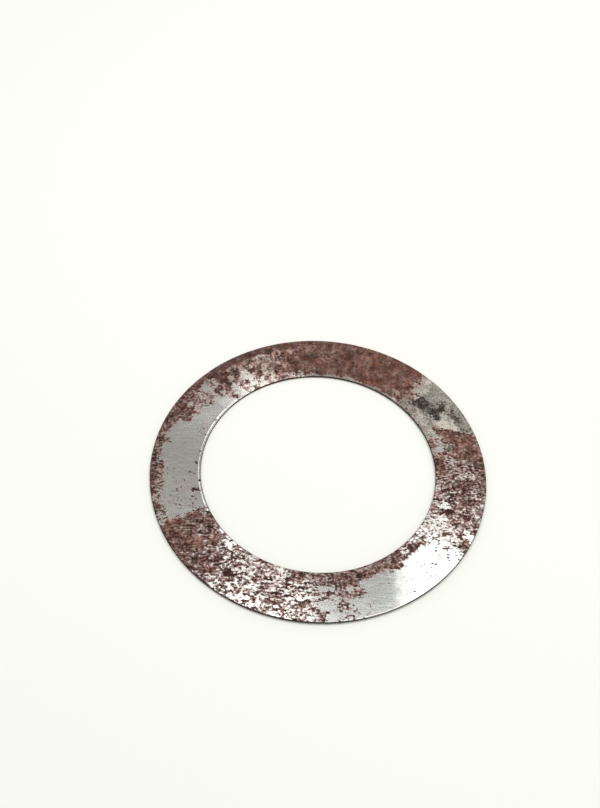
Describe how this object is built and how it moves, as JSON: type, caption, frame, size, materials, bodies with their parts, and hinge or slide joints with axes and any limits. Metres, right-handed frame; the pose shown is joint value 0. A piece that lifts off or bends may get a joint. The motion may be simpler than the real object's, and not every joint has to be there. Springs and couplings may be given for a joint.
{
  "type": "flat washer",
  "caption": "Thin flat ring washer (shim) with a plain round bore and rolled upper edges, to space or back a part along a shaft.",
  "frame": {"origin": "centre of the bore, on the lower face that the washer rests on", "axes": "+Z along the bore's axis, out of the upper face, the one with the rolled edges; X and Y are free, because the ring is round"},
  "size_m": [0.04, 0.04, 0.0003],
  "materials": {
    "rusted_spring_steel": "bright rolled spring steel strip under red-brown surface rust, matt where it has rusted and satin where bare metal is left"
  },
  "bodies": {
    "root": {"washer_ring": "rusted_spring_steel"}
  },
  "joints": []
}
